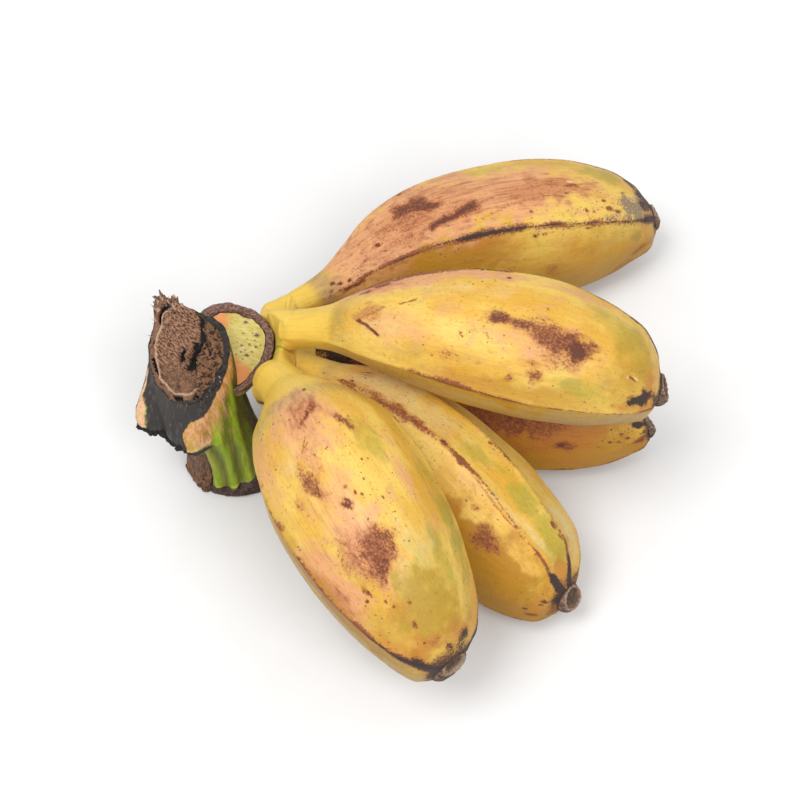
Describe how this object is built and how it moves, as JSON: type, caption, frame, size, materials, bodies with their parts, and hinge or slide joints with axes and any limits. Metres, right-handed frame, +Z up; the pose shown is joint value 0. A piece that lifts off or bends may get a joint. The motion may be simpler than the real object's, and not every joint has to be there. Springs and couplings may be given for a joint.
{
  "type": "saba banana hand",
  "caption": "Hand of thick, angular cooking bananas fanning out from a crown on a short cut length of the bunch's stalk, lying on a surface.",
  "frame": {"origin": "on the ground under the middle of the hand's bounding box", "axes": "+Z up, +X from the bunch's stalk towards the fingertips, +Y towards the long finger at the back"},
  "size_m": [0.1745, 0.2046, 0.0839],
  "materials": {
    "stalk": "dry fibrous cut, scorched skin and a ribbed green flank",
    "crown": "smooth yellow living tissue, satin",
    "peel": "ripe yellow peel with brown bruises and darkened ridges, satin",
    "flower_end": "dried, wrinkled and matt"
  },
  "bodies": {
    "root": {"stem": "stalk", "crown": "crown", "banana_back": "peel", "banana_top": "peel", "banana_under": "peel", "banana_middle": "peel", "banana_front": "peel", "tip_back": "flower_end", "tip_top": "flower_end", "tip_under": "flower_end", "tip_middle": "flower_end", "tip_front": "flower_end"}
  },
  "joints": []
}
